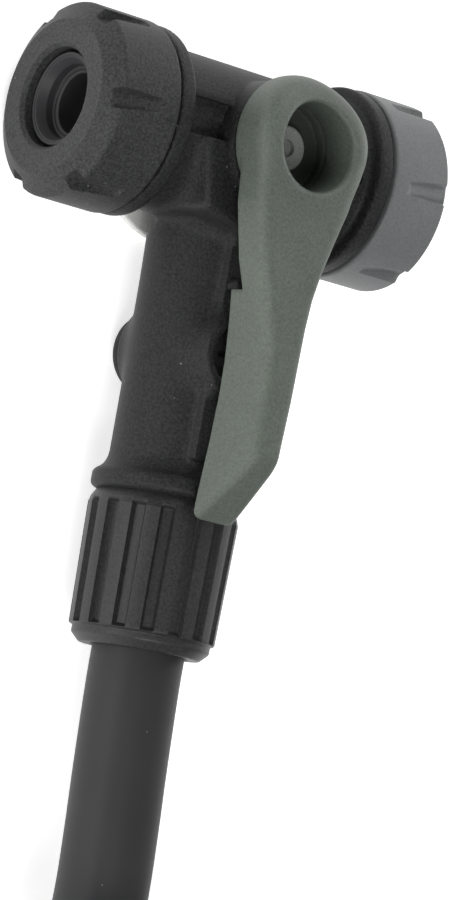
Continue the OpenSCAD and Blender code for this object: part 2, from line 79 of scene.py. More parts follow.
def span(node, axis):
    # a node's lowest and highest place along one axis, in millimetres about the head's centre
    low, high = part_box(node)
    return (low[axis] / mm - headCentre[axis] / mm, high[axis] / mm - headCentre[axis] / mm)


capIn, capOut = span("presta_cap", 0)
capR = span("presta_cap", 2)[1]
nutEnd, nutTop = span("collar_nut", 1)
nutR = span("collar_nut", 0)[1]
print("frame loaded, cap radius", round(capR, 2), "nut", round(nutTop, 2), round(nutEnd, 2))

# Camera, above and to the left of the head, a little towards the hose
view = {
    "place": (-354.0, -97.6, 467.7), "turn": 37.78, "tilt": 5.82, "lean": 10.11,
    "lens": 186.13, "film": 36.0,
}


def makeCamera():
    turn, tilt, lean = (math.radians(view[k]) for k in ("turn", "tilt", "lean"))
    level = math.cos(tilt)
    ahead = np.array([math.sin(turn) * level, math.sin(tilt), -math.cos(turn) * level])
    side = np.array([math.cos(turn), 0.0, math.sin(turn)])
    up = np.cross(side, ahead)
    right = side * math.cos(lean) + up * math.sin(lean)
    above = up * math.cos(lean) - side * math.sin(lean)
    data = bpy.data.cameras.new("camera")
    data.sensor_fit = "VERTICAL"
    data.sensor_height = view["film"]
    data.lens = view["lens"]
    data.clip_start = 0.01
    camera = bpy.data.objects.new("camera", data)
    bpy.context.scene.collection.objects.link(camera)
    place = world(view["place"])
    rows = [[right[k], above[k], -ahead[k], place[k]] for k in range(3)]
    camera.matrix_world = Matrix(rows + [[0, 0, 0, 1]])
    bpy.context.scene.camera = camera


makeCamera()
print("camera set")


def addPiece(name, points, quads, material, body, nodes, sharp=38.0):
    # a mesh from rows of four corners, where a fourth corner of -1 marks a triangle
    mesh = bpy.data.meshes.new(name)
    quads = np.asarray(quads, np.int64)
    mesh.vertices.add(len(points))
    mesh.vertices.foreach_set("co", world(points).astype(np.float32).ravel())
    triangles = quads[:, 3] < 0
    sizes = np.where(triangles, 3, 4)
    corners = quads.ravel()
    corners = corners[corners >= 0]
    mesh.loops.add(len(corners))
    mesh.loops.foreach_set("vertex_index", corners.astype(np.int32))
    mesh.polygons.add(len(quads))
    mesh.polygons.foreach_set("loop_start", (np.cumsum(sizes) - sizes).astype(np.int32))
    mesh.update(calc_edges=True)
    mesh.polygons.foreach_set("use_smooth", np.ones(len(quads), bool))
    mesh.set_sharp_from_angle(angle=math.radians(sharp))
    mesh.validate()
    mesh.materials.append(material)
    piece = bpy.data.objects.new(name, mesh)
    bpy.context.scene.collection.objects.link(piece)
    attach(piece, body)
    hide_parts(*nodes)
    return piece


def facingOut(points, quads):
    # turns every face round if the faces' signed volume is negative
    points = np.asarray(points, float)
    a, b, c = (points[quads[:, k]] for k in range(3))
    last = np.where(quads[:, 3] < 0, quads[:, 2], quads[:, 3])
    d = points[last]
    volume = np.einsum("ij,ij->i", a, np.cross(b, c)) + np.einsum("ij,ij->i", a, np.cross(c, d))
    if volume.sum() >= 0:
        return quads
    flipped = quads.copy()
    whole = quads[:, 3] >= 0
    flipped[whole] = quads[whole][:, ::-1]
    flipped[~whole, :3] = quads[~whole][:, [2, 1, 0]]
    return flipped


def rounded(corners):
    # corners are [along, out, fillet]: each corner becomes an arc tangent to its two sides
    outline = []
    count = len(corners)
    for k, (along, out, fillet) in enumerate(corners):
        here = np.array([along, out])
        before = np.array(corners[k - 1][:2]) - here
        after = np.array(corners[(k + 1) % count][:2]) - here
        if fillet <= 0:
            outline.append(here)
            continue
        reach = (np.linalg.norm(before), np.linalg.norm(after))
        before, after = before / reach[0], after / reach[1]
        half = math.acos(np.clip(before @ after, -1, 1)) / 2
        back = min(fillet / math.tan(half), 0.49 * min(reach))
        radius = back * math.tan(half)
        middle = here + (before + after) / np.linalg.norm(before + after) * radius / math.sin(half)
        start, stop = here + before * back - middle, here + after * back - middle
        turn = math.acos(np.clip(start @ stop / radius ** 2, -1, 1))
        for t in np.linspace(0, 1, 5):
            blend = math.sin((1 - t) * turn) * start + math.sin(t * turn) * stop
            outline.append(middle + blend / math.sin(turn))
    return np.array(outline)


def finer(outline, step):
    # the same closed outline with no side longer than step
    parts = []
    for start, end in zip(outline, np.roll(outline, -1, 0)):
        pieces = max(1, int(math.ceil(np.linalg.norm(end - start) / step)))
        parts.append(start + (end - start) * np.arange(pieces)[:, None] / pieces)
    return np.vstack(parts)


def turned(outline, sides, axis, shift=None):
    # a surface of revolution: a closed outline [along, out] turned round the x or y axis;
    # shift(along, out, angle) changes the radius over the surface. Angle 0 is towards +Z.
    angle = np.linspace(0, 2 * math.pi, sides, endpoint=False)[None, :]
    along = np.repeat(outline[:, :1], sides, 1)
    out = np.repeat(outline[:, 1:2], sides, 1)
    if shift is not None:
        out = out + shift(along, out, angle)
    a, b = out * np.sin(angle), out * np.cos(angle)
    grid = {"x": (along, a, b), "y": (a, -along, b)}[axis]
    points = np.stack(grid, -1).reshape(-1, 3)
    rings = len(outline)
    index = np.arange(rings * sides).reshape(rings, sides)
    index = np.vstack([index, index[:1]])
    beside = np.roll(index, -1, 1)
    quads = np.stack([index[:-1], index[1:], beside[1:], beside[:-1]], -1).reshape(-1, 4)
    return points, facingOut(points, quads)


def smoothStep(t):
    # 0 below 0, 1 above 1 and an S-shaped rise between
    t = np.clip(t, 0, 1)
    return t * t * (3 - 2 * t)


# Solids with blended joins are distance fields: below zero inside, above zero outside

def joinSoft(a, b, width):
    # the lower of two distances, blended where they are closer than width
    share = np.clip(0.5 + 0.5 * (b - a) / width, 0, 1)
    return b * (1 - share) + a * share - width * share * (1 - share)


def cutSoft(a, b, width):
    # a with b taken away, the new edge softened by width
    return -joinSoft(-a, b, width)


def meetSoft(a, b, width):
    # the higher of two distances, blended
    return -joinSoft(-a, -b, width)


def rod(out, along, radius, low, high, edge):
    # distance to a round rod with rounded rims
    side = out - radius + edge
    end = np.maximum(low - along, along - high) + edge
    outside = np.hypot(np.maximum(side, 0), np.maximum(end, 0))
    return np.minimum(np.maximum(side, end), 0) + outside - edge


def block(x, y, z, low, high, edge):
    # distance to a box with rounded edges
    qx = np.maximum(low[0] - x, x - high[0]) + edge
    qy = np.maximum(low[1] - y, y - high[1]) + edge
    qz = np.maximum(low[2] - z, z - high[2]) + edge
    outside = np.sqrt(np.maximum(qx, 0) ** 2 + np.maximum(qy, 0) ** 2 + np.maximum(qz, 0) ** 2)
    return outside + np.minimum(np.maximum(np.maximum(qx, qy), qz), 0) - edge


def skin(field, low, high, step):
    # one point in each grid cell that the surface crosses, at the mean of the cell's crossings,
    # then drawn onto the surface along the field's slope; one face round each crossed grid line
    axes = [np.arange(low[k] - 2 * step, high[k] + 3 * step, step) for k in range(3)]
    grid = np.meshgrid(*axes, indexing="ij")
    value = field(*[g.astype(np.float32) for g in grid])
    inside = value < 0
    shape = np.array(value.shape)
    stride = np.array([shape[1] * shape[2], shape[2], 1])
    total = int(np.prod(shape))
    sums = np.zeros((3, total))
    count = np.zeros(total)
    faces = []
    for axis in range(3):
        first = [slice(None)] * 3
        second = [slice(None)] * 3
        first[axis] = slice(0, -1)
        second[axis] = slice(1, None)
        a, b = value[tuple(first)], value[tuple(second)]
        crossed = np.argwhere((a < 0) != (b < 0))
        va = a[tuple(crossed.T)]
        vb = b[tuple(crossed.T)]
        place = crossed.astype(float)
        place[:, axis] += va / (va - vb)
        u, v = [k for k in range(3) if k != axis]
        base = crossed @ stride
        ring = [base, base - stride[u], base - stride[u] - stride[v], base - stride[v]]
        for cell in ring:
            count += np.bincount(cell, minlength=total)
            for k in range(3):
                sums[k] += np.bincount(cell, weights=place[:, k], minlength=total)
        quad = np.stack(ring, -1)
        wrong = (va < 0) == (axis == 1)
        quad[wrong] = quad[wrong][:, ::-1]
        faces.append(quad)
    used = np.flatnonzero(count)
    renumber = np.full(total, -1)
    renumber[used] = np.arange(len(used))
    points = (sums[:, used] / count[used]).T * step + np.array([axes[k][0] for k in range(3)])
    points = drawOn(field, points, step)
    quads = renumber[np.vstack(faces)]
    return points, facingOut(points, quads)


def drawOn(field, points, step):
    # each point moves down the field's slope until the field is zero there
    small = step * 0.1
    for _ in range(3):
        x, y, z = points.T
        slope = np.stack([
            field(x + small, y, z) - field(x - small, y, z),
            field(x, y + small, z) - field(x, y - small, z),
            field(x, y, z + small) - field(x, y, z - small)], -1) / (2 * small)
        size = np.maximum((slope ** 2).sum(-1), 0.2)
        move = -field(x, y, z)[:, None] * slope / size[:, None]
        points = points + np.clip(move, -0.6 * step, 0.6 * step)
    return points


class Wire:
    # a socket that can be used in Python sums; each sum adds its Math node
    def __init__(self, tree, socket):
        self.tree = tree
        self.socket = socket

    def maths(self, operation, other=None, swap=False):
        values = [self, other] if other is not None else [self]
        if swap:
            values.reverse()
        return self.tree.add("ShaderNodeMath", {"operation": operation}, dict(enumerate(values)))

    def __add__(self, other):
        return self.maths("ADD", other)

    def __sub__(self, other):
        return self.maths("SUBTRACT", other)

    def __mul__(self, other):
        return self.maths("MULTIPLY", other)

    def __rsub__(self, other):
        return self.maths("SUBTRACT", other, swap=True)

    __radd__ = __add__
    __rmul__ = __mul__


class Finish:
    # one material and its nodes
    def __init__(self, name, **fixed):
        self.material = bpy.data.materials.new(name)
        self.material.use_nodes = True
        self.nodes = self.material.node_tree.nodes
        self.links = self.material.node_tree.links
        self.shader = self.nodes["Principled BSDF"]
        for socket, value in fixed.items():
            self.shader.inputs[socket.replace("_", " ")].default_value = value

    def add(self, kind, settings=None, values=None, output=0):
        # one node of any kind: its settings first, then the values or links of its sockets
        node = self.nodes.new(kind)
        for key, value in (settings or {}).items():
            if key == "stops":
                ramp = node.color_ramp
                while len(ramp.elements) < len(value):
                    ramp.elements.new(0.5)
                for element, (place, shade) in zip(ramp.elements, value):
                    element.position = place
                    element.color = shade if len(np.shape(shade)) else (shade, shade, shade, 1)
            else:
                setattr(node, key, value)
        for key, value in (values or {}).items():
            if isinstance(value, Wire):
                self.links.new(value.socket, node.inputs[key])
            else:
                node.inputs[key].default_value = value
        return Wire(self, node.outputs[output])

    def feed(self, **sockets):
        for socket, wire in sockets.items():
            self.links.new(wire.socket, self.shader.inputs[socket.replace("_", " ")])

    def place(self):
        return self.add("ShaderNodeTexCoord", output="Object")

    def noise(self, where, size, detail=2.0, rough=0.5):
        # size is the width of one grain, in millimetres
        return self.add("ShaderNodeTexNoise", {}, {
            "Vector": where, "Scale": 1 / (size * mm), "Detail": detail, "Roughness": rough})

    def specks(self, where, apart):
        # distance to the nearest of many scattered points, about so many millimetres apart
        return self.add("ShaderNodeTexVoronoi", {"feature": "F1"}, {
            "Vector": where, "Scale": 1 / (apart * mm)})

    def wave(self, where, direction):
        return self.add("ShaderNodeTexWave", {"bands_direction": direction}, {
            "Vector": where, "Scale": 0.5 / mm, "Distortion": 0.5})

    def blend(self, factor, one, two):
        # sockets 0, 6 and 7 are the factor and two colours, and output 2 is the mixed colour
        return self.add("ShaderNodeMix", {"data_type": "RGBA"}, {0: factor, 6: one, 7: two}, output=2)

    def ramp(self, value, *stops):
        return self.add("ShaderNodeValToRGB", {"stops": stops}, {0: value})

    def bump(self, height, depth, strength, after=None):
        values = {"Height": height, "Distance": depth * mm, "Strength": strength}
        if after is not None:
            values["Normal"] = after
        return self.add("ShaderNodeBump", {}, values)


def shade(colour, factor):
    # a colour made darker or paler, with full alpha
    return tuple(min(1, c * factor) for c in colour[:3]) + (1,)


def mouldedPlastic(
        name, colour, grit=0.4, depth=0.05, roughness=0.5, gloss=0.2, lint=0.0, recessShadeAt=None):
    # spark-eroded mould grain, faint cloudiness and a few pale specks of dust;
    # the last argument is a round recess whose floor is painted darker as shade: its centre, radius in
    # millimetres, floor and lip
    finish = Finish(name, Specular_IOR_Level=gloss)
    where = finish.place()
    fine = finish.noise(where, 0.34, 3.0, 0.7)
    cloud = finish.ramp(finish.noise(where, 9.0), (0.3, 0.0), (0.75, 1.0))
    dark, pale = 1 - grit, 1 + grit
    hollows = finish.blend(cloud, shade(colour, 0.92 * dark), shade(colour, 1.08 * dark))
    crests = finish.blend(cloud, shade(colour, 0.92 * pale), shade(colour, 1.08 * pale))
    base = finish.blend(finish.ramp(fine, (0.34, 0.0), (0.66, 1.0)), hollows, crests)
    if lint > 0:
        dust = finish.ramp(finish.specks(where, 2.6), (0.02, 1.0), (0.045, 0.0)) * lint
        base = finish.blend(dust, base, (0.45, 0.45, 0.43, 1))
    if recessShadeAt is not None:
        # painted shade: darker at the bottom of a round recess, where little light reaches
        place, recessR, low, high = recessShadeAt
        x, y, z = (finish.add("ShaderNodeSeparateXYZ", {}, {0: where}, output=k) for k in range(3))
        across, up = (x - place[0]) * (1 / mm), (y - place[1]) * (1 / mm)
        within = finish.ramp(across * across + up * up - recessR ** 2, (0.0, 1.0), (0.9, 0.0))
        deep = finish.ramp((z - low) * (1 / (high - low)), (0.05, 0.75), (1.0, 0.0))
        base = finish.blend(within * deep, base, shade(colour, 0.12))
    finish.feed(Base_Color=base)
    finish.feed(Roughness=fine * 0.16 + (roughness - 0.08) + cloud * 0.05)
    finish.feed(Normal=finish.bump(fine, depth, 0.8))
    return finish.material


def softRubber(name, colour, roughness=0.55):
    # fine grain over a faint cloudiness
    finish = Finish(name, Specular_IOR_Level=0.35)
    where = finish.place()
    fine = finish.noise(where, 0.3, 3.0, 0.6)
    cloud = finish.noise(where, 5.0)
    finish.feed(Base_Color=finish.blend(cloud, shade(colour, 0.8), shade(colour, 1.25)))
    finish.feed(Roughness=fine * 0.2 + (roughness - 0.1))
    finish.feed(Normal=finish.bump(fine, 0.02, 0.4))
    return finish.material


def turnedMetal(name, colour, roughness=0.28):
    # fine tool marks and a faint stain
    finish = Finish(name, Metallic=1.0)
    where = finish.place()
    lines = finish.noise(where, 0.12, 4.0, 0.7)
    cloud = finish.noise(where, 3.0)
    finish.feed(Base_Color=finish.blend(cloud, shade(colour, 0.85), shade(colour, 1.1)))
    finish.feed(Roughness=lines * 0.2 + (roughness - 0.08) + cloud * 0.08)
    finish.feed(Normal=finish.bump(lines, 0.006, 0.5))
    return finish.material


def hoseRubber():
    # faint rings round the hose and fine scuffs, on the hose's own length coordinate
    finish = Finish("hoseRubber", Specular_IOR_Level=0.25)
    where = finish.place()
    along = finish.add("ShaderNodeUVMap", {"uv_map": "lengthMap"})
    stretched = finish.add("ShaderNodeMapping", {}, {"Vector": along, "Scale": (1400.0, 14.0, 1.0)})
    rings = finish.add("ShaderNodeTexNoise", {}, {"Vector": stretched, "Scale": 1.0, "Detail": 3.0})
    fine = finish.noise(where, 0.25, 3.0, 0.6)
    cloud = finish.noise(where, 14.0)
    dark, pale = (0.021, 0.021, 0.022, 1), (0.032, 0.032, 0.033, 1)
    base = finish.blend(cloud, dark, pale)
    dust = finish.ramp(finish.specks(where, 4.5), (0.012, 0.5), (0.03, 0.0))
    base = finish.blend(dust, base, (0.3, 0.3, 0.3, 1))
    finish.feed(Base_Color=base)
    finish.feed(Roughness=rings * 0.12 + fine * 0.1 + 0.4)
    finish.feed(Normal=finish.bump(rings, 0.02, 0.35, finish.bump(fine, 0.01, 0.3)))
    return finish.material


def wovenStrap():
    # warp and weft as two crossed waves
    finish = Finish("wovenStrap", Specular_IOR_Level=0.3, Sheen_Weight=0.3, Sheen_Roughness=0.5)
    where = finish.place()
    weave = finish.wave(where, "X") * finish.wave(where, "Z")
    finish.feed(Base_Color=finish.blend(weave, (0.012, 0.012, 0.013, 1), (0.04, 0.04, 0.042, 1)))
    finish.feed(Roughness=weave * 0.2 + 0.7)
    finish.feed(Normal=finish.bump(weave, 0.15, 0.7))
    return finish.material


# The lever's round recess, in millimetres from the valve axis, whose floor is painted darker as shade
leverRecess = {"radius": 5.9, "floor": 10.8, "lip": 16.5}

materials = {
    "blackBody": mouldedPlastic("blackBody", (0.019, 0.0192, 0.0198), grit=0.6, depth=0.08, lint=0.6),
    "blackCap": mouldedPlastic("blackCap", (0.036, 0.0363, 0.037), grit=0.5, depth=0.08, lint=0.5),
    "blackNut": mouldedPlastic(
        "blackNut", (0.022, 0.0222, 0.0228), grit=0.45, roughness=0.42, gloss=0.35),
    "greyCap": mouldedPlastic("greyCap", (0.155, 0.16, 0.162), grit=0.14, depth=0.03, gloss=0.3),
    "greyDisc": mouldedPlastic("greyDisc", (0.8, 0.8, 0.78), grit=0.08, depth=0.02),
    "leverGreen": mouldedPlastic(
        "leverGreen", (0.094, 0.111, 0.092), grit=0.22, roughness=0.5, gloss=0.4,
        # painted shade on the floor of the lever's recess
        recessShadeAt=(headCentre, leverRecess["radius"],
               headCentre[2] + leverRecess["floor"] * mm, headCentre[2] + leverRecess["lip"] * mm)),
    "shaftGrey": mouldedPlastic("shaftGrey", (0.25, 0.265, 0.25), grit=0.15, depth=0.02),
    "gasketRubber": softRubber("gasketRubber", (0.028, 0.028, 0.03)),
    "sealRubber": softRubber("sealRubber", (0.015, 0.015, 0.015), 0.35),
    "whitePlastic": mouldedPlastic(
        "whitePlastic", (0.75, 0.75, 0.7), grit=0.05, depth=0.01, roughness=0.35),
    "steel": turnedMetal("steel", (0.62, 0.63, 0.65)),
    "platedSteel": turnedMetal("platedSteel", (0.66, 0.66, 0.68), 0.2),
    "brass": turnedMetal("brass", (0.75, 0.56, 0.27), 0.25),
    "hoseRubber": hoseRubber(),
    "wovenStrap": wovenStrap(),
}
print("materials made")

# Hose: the route from the collar nut to the end fitting, as the CAD has it
hose = {
    "width": 11.85, "sides": 48, "step": 2.0, "length": 0.82, "lies": -6.5, "rise": 12.0,
    "inside": [59, 62, 65],
    # distance along, drift to +X and share of the way down to the floor
    "leadRows": [
        (68, 0, 0), (72, 0.1, 0), (80, 0.4, 0), (88, 0.8, 0), (96, 1.2, 0.04), (104, 1.5, 0.2),
        (112, 1.6, 0.46), (120, 1.5, 0.74), (128, 1.1, 0.92), (136, 0.7, 0.99), (144, 0.3, 1),
        (152, 0.1, 1), (160, 0, 1)],
    "coilCentre": (60, -168), "coilRadius": 60, "turns": 1.75, "perTurn": 24,
    "riseFrom": 225, "riseTo": 330,
    "tail": [(52, 5.9), (44, 7.4), (36, 9.7), (29, 11.4), (24, 12.1), (15, 12.1), (6, 12.1)],
    "tieLift": 0.8, "tieHalf": 14.0,
}


def coilTurns():
    # round the coil's centre at a steady radius, climbing onto the first turn by one hose width;
    # at the tie the hose is lifted by the strap that passes under it
    steps = int(hose["turns"] * hose["perTurn"])
    angle = np.linspace(0, hose["turns"] * 360, steps + 1)
    place = np.radians(angle + 180)
    risen = (angle - hose["riseFrom"]) / (hose["riseTo"] - hose["riseFrom"])
    climb = smoothStep(risen) * hose["rise"]
    fromTie = np.abs((angle - 90 + 180) % 360 - 180)
    lift = hose["tieLift"] * (1 - smoothStep((fromTie - 4) / hose["tieHalf"]))
    return np.stack([
        hose["coilCentre"][0] + hose["coilRadius"] * np.cos(place),
        hose["coilCentre"][1] + hose["coilRadius"] * np.sin(place),
        hose["lies"] + climb + lift], -1)


def smoothRoute(points, step):
    # a Catmull-Rom curve through the points, then the same curve in even steps
    points = np.asarray(points, float)
    padded = np.vstack([2 * points[0] - points[1], points, 2 * points[-1] - points[-2]])
    t = np.linspace(0, 1, 12, endpoint=False)[None, :, None]
    p0, p1, p2, p3 = (padded[k:len(padded) - 3 + k][:, None] for k in range(4))
    curve = 0.5 * (2 * p1 + (p2 - p0) * t + (2 * p0 - 5 * p1 + 4 * p2 - p3) * t ** 2
                   + (3 * p1 - p0 - 3 * p2 + p3) * t ** 3)
    curve = np.vstack([curve.reshape(-1, 3), points[-1:]])
    length = np.r_[0, np.cumsum(np.linalg.norm(np.diff(curve, axis=0), axis=1))]
    even = np.linspace(0, length[-1], int(length[-1] / step) + 1)
    return np.stack([np.interp(even, length, curve[:, k]) for k in range(3)], -1), even


def sweptTube(route, radius, sides):
    # a circle carried along the route, square to it, with its ends closed
    ahead = np.gradient(route, axis=0)
    ahead /= np.linalg.norm(ahead, axis=1)[:, None]
    side = np.cross(ahead, [0, 0, 1.0])
    side /= np.linalg.norm(side, axis=1)[:, None]
    up = np.cross(side, ahead)
    angle = np.linspace(0, 2 * math.pi, sides, endpoint=False)
    ring = np.cos(angle)[None, :, None] * side[:, None] + np.sin(angle)[None, :, None] * up[:, None]
    points = (route[:, None] + radius * ring).reshape(-1, 3)
    rings = len(route)
    index = np.arange(rings * sides).reshape(rings, sides)
    beside = np.roll(index, -1, 1)
    quads = np.stack([index[:-1], beside[:-1], beside[1:], index[1:]], -1).reshape(-1, 4)
    points = np.vstack([points, route[:1], route[-1:]])
    blank = np.full(sides, -1)
    start = np.stack([beside[0], index[0], np.full(sides, len(points) - 2), blank], -1)
    end = np.stack([index[-1], beside[-1], np.full(sides, len(points) - 1), blank], -1)
    quads = np.vstack([quads, start, end])
    return points, facingOut(points, quads)


def makeHose():
    turns = coilTurns()
    start = [(0, -along, 0) for along in hose["inside"]]
    lead = [(drift, -along, fall * hose["lies"]) for along, drift, fall in hose["leadRows"]]
    tail = [(across, turns[-1][1], height) for across, height in hose["tail"]]
    knots = np.vstack([start, lead, turns, tail])
    route, length = smoothRoute(knots, hose["step"])
    points, quads = sweptTube(route, hose["width"] / 2, hose["sides"])
    piece = addPiece("airHose", points, quads, materials["hoseRubber"], "head",
                     ["hose_lead", "hose_coil", "hose_tail", "hose_end"])
    # length in metres along the hose and the share of the way round it
    layer = piece.data.uv_layers.new(name="lengthMap")
    index = np.empty(len(piece.data.loops), np.int32)
    piece.data.loops.foreach_get("vertex_index", index)
    ring = np.minimum(index // hose["sides"], len(route) - 1)
    around = (index % hose["sides"]) / hose["sides"]
    uv = np.stack([length[ring] * mm, around], -1)
    layer.data.foreach_set("uv", uv.astype(np.float32).ravel())
    print("hose made, millimetres long", round(length[-1], 1))


# Head body: barrel, flanges, stem and bosses blended into one skin, with every bore cut out.
# A boss is its radius and how far it reaches; a bore is its line, radius and two ends.
head = {
    "step": 0.38, "low": (-24, -57, -12.3), "high": (24, 12.3, 12.3),
    "barrel": 10.4, "flange": 12.3, "flangeIn": 15.2, "flangeOut": 17.5, "spigotEnd": 23.95,
    "stemAt": [0, 10, 18, 32, 60], "stemR": [8.7, 8.4, 8.2, 8.1, 8.05], "stemEnd": 45.0,
    "ring": 9.6, "ringFrom": 43.3, "rail": ((-3.4, -40.6, 0), (3.4, -8, 8.9)),
    "bleedAt": 26.8, "bleedBack": (5.8, 8.2), "bleedFront": (4.9, 9.6),
    "nubAt": (-2.0, -18.1), "nub": (0.95, 10.6), "shaftBoss": (8.55, 11.9), "nutSpigot": (7.6, 40, 57),
    # the wings' slopes: how much of x and of y, and how far out
    "wingEnd": (0.979, 0.204, 11.7), "wingFront": (0.281, 0.96, 12.26),
    "wingTop": 11.0, "wingBack": -1.2, "pocket": ((6.5, -1.3, 8.8), (14.1, 3.5, 14)),
    "bores": [
        ("valve", 6.0, -1, 16), ("valve", 8.0, 14.9, 26),
        ("pivot", 7.1, 9.3, 14), ("pivot", 3.05, -14, 10),
        ("stem", 2.2, 0, 44), ("stem", 4.6, 43.5, 60),
        ("bleedFront", 3.0, -12, 4.1), ("bleedBack", 5.3, 6.1, 12), ("bleedFront", 3.95, 4.0, 12)],
}


def headField(x, y, z):
    # distances to the barrel, stem, bosses, wings and pocket, joined and cut in turn
    side, along = np.abs(x), -y
    bleed = np.hypot(x, y + head["bleedAt"])
    nub = np.hypot(x - head["nubAt"][0], y - head["nubAt"][1])
    # each line that a rod or a bore follows: distance out from it and place along it
    lines = {
        "valve": (np.hypot(y, z), side), "stem": (np.hypot(x, z), along), "pivot": (np.hypot(x, y), z),
        "bleedFront": (bleed, z), "bleedBack": (bleed, -z)}
    solid = joinSoft(
        rod(*lines["valve"], head["barrel"], -1, head["spigotEnd"], 0.4),
        rod(*lines["valve"], head["flange"], head["flangeIn"], head["flangeOut"], 0.5), 0.8)
    stemR = np.interp(along, head["stemAt"], head["stemR"])
    stem = rod(*lines["stem"], stemR, 0, head["stemEnd"], 0.3)
    ring = rod(*lines["stem"], head["ring"], head["ringFrom"], head["stemEnd"], 0.4)
    stem = joinSoft(stem, ring, 3.0)
    stem = joinSoft(stem, block(x, y, z, *head["rail"], 0.4), 0.8)
    stem = joinSoft(stem, rod(bleed, -z, head["bleedBack"][0], 0, head["bleedBack"][1], 0.5), 2.2)
    stem = joinSoft(stem, rod(bleed, z, head["bleedFront"][0], 0, head["bleedFront"][1], 0.25), 2.6)
    stem = np.minimum(stem, rod(nub, z, head["nub"][0], 0, head["nub"][1], 0.4))
    solid = joinSoft(solid, stem, 0.9)
    # the wings slope away on each side of the lever's boss
    endX, endY, endAt = head["wingEnd"]
    frontX, frontY, frontAt = head["wingFront"]
    wings = meetSoft(endX * side - endY * y - endAt, frontX * side - frontY * y - frontAt, 0.6)
    wings = meetSoft(meetSoft(wings, z - head["wingTop"], 0.8), y - head["wingBack"], 0.4)
    solid = joinSoft(solid, np.maximum(wings, -z), 2.0)
    solid = cutSoft(solid, block(side, y, z, *head["pocket"], 0.25), 0.35)
    bossR, bossTop = head["shaftBoss"]
    solid = np.minimum(solid, rod(*lines["pivot"], bossR, 0, bossTop, 0.3))
    solid = np.minimum(solid, rod(*lines["stem"], *head["nutSpigot"], 0.4))
    for line, radius, low, high in head["bores"]:
        solid = np.maximum(solid, -rod(*lines[line], radius, low, high, 0))
    return solid


def makeHead():
    points, quads = skin(headField, head["low"], head["high"], head["step"])
    addPiece("headShell", points, quads, materials["blackBody"],
             "head", ["head_body"], 32)
    print("head skin, faces", len(quads))


makeHead()

# Lever: round boss, tapering arm and leaning finger bar; walls as x on each side, down the arm
lever = {
    "step": 0.27, "low": (-9, -49, 9.4), "high": (9, 9.4, 18.8),
    "boss": 8.7, "bossUp": 0.4, "under": 12.2, "armUnder": 13.4, "barUnder": 11.2, "notch": 19.0,
    "top": 18.7, "tip": 48.6, "cutFrom": 40.0, "cutSlope": 0.869,
    "recess": 5.6, "web": 10.9, "crown": 0.045,
    "hub": (6.8, 9.6, 12.8), "shaftHole": ((-2.15, -2.15, 8), (2.15, 2.15, 12)),
    "downFront": [-2, 8.5, 15.6, 20.3, 26.2, 32.4, 50],
    "leftFront": [-8.4, -7.4, -5.6, -3.9, -2.0, -1.5, -1.6],
    "downBack": [-2, 8.5, 15.6, 19, 23, 28, 32, 38, 44, 50],
    "leftBack": [-8.5, -7.6, -5.8, -4.4, -3.9, -3.5, -3.4, -3.6, -4.0, -4.3],
    "downRight": [-2, 2.4, 6.8, 11.3, 15.1, 18.9, 22.7, 27.2, 31.7, 38.1, 50],
    "rightFront": [8.4, 7.95, 7.0, 5.5, 4.3, 3.55, 3.25, 3.15, 3.05, 2.7, 2.4],
    "rightBack": [8.4, 8.0, 7.1, 5.6, 4.5, 3.7, 3.4, 3.2, 3.1, 2.9, 2.4],
}


def leverField(x, y, z):
    # a domed round boss joined to an arm between two leaning walls, its end cut on a slope
    down = -y
    crown = lever["top"] - lever["crown"] * np.maximum(0, y - 1) ** 2
    boss = meetSoft(np.hypot(x, y - lever["bossUp"]) - lever["boss"], z - crown, 2.6)
    boss = meetSoft(boss, lever["under"] - z, 0.5)
    share = np.clip((z - lever["barUnder"]) / (lever["top"] - lever["barUnder"]), -0.2, 1.2)
    left = (1 - share) * np.interp(down, lever["downBack"], lever["leftBack"])
    left += share * np.interp(down, lever["downFront"], lever["leftFront"])
    right = (1 - share) * np.interp(down, lever["downRight"], lever["rightBack"])
    right += share * np.interp(down, lever["downRight"], lever["rightFront"])
    # 0.95 and 0.755 make the slanted walls and end near to true distances
    walls = np.maximum(left - x, x - right) * 0.95
    arm = meetSoft(walls, z - lever["top"], np.interp(down, [0, 14], [2.6, 1.5]))
    end = z - lever["top"] - lever["cutSlope"] * (lever["cutFrom"] - down)
    arm = meetSoft(arm, end * 0.755, 1.2)
    arm = meetSoft(arm, down - lever["tip"], 1.2)
    bar = np.maximum(lever["barUnder"] - z, lever["notch"] - down)
    under = np.minimum(lever["armUnder"] - z, bar)
    arm = np.maximum(meetSoft(arm, under, 0.5), -down - 2)
    solid = joinSoft(boss, arm, np.interp(down, [0, 9], [0.05, 1.2]))
    pivot = np.hypot(x, y)
    solid = np.minimum(solid, rod(pivot, z, *lever["hub"], 0.2))
    solid = cutSoft(solid, rod(pivot, z, lever["recess"], lever["web"], 21, 0.2), 0.9)
    return np.maximum(solid, -block(x, y, z, *lever["shaftHole"], 0))


def makeLever():
    points, quads = skin(leverField, lever["low"], lever["high"], lever["step"])
    addPiece("leverShell", points, quads, materials["leverGreen"],
             "lever_set", ["lever"], 32)
    print("lever skin, faces", len(quads))


makeLever()

# Caps: turned shells with six sloping finger notches; angles in degrees from each notch's middle
cap = {
    "sides": 480, "step": 0.3, "notches": 6, "steep": 4.6, "wideFront": 7.0, "wideEnd": 1.8,
    "notchEnd": 20.4, "deepEnd": 0.35, "deepFront": 1.35,
    "thread": 10.5, "mouth": 6.4, "mouthDeep": 4, "chamferLong": 1.75, "chamferDeep": 2.6,
}


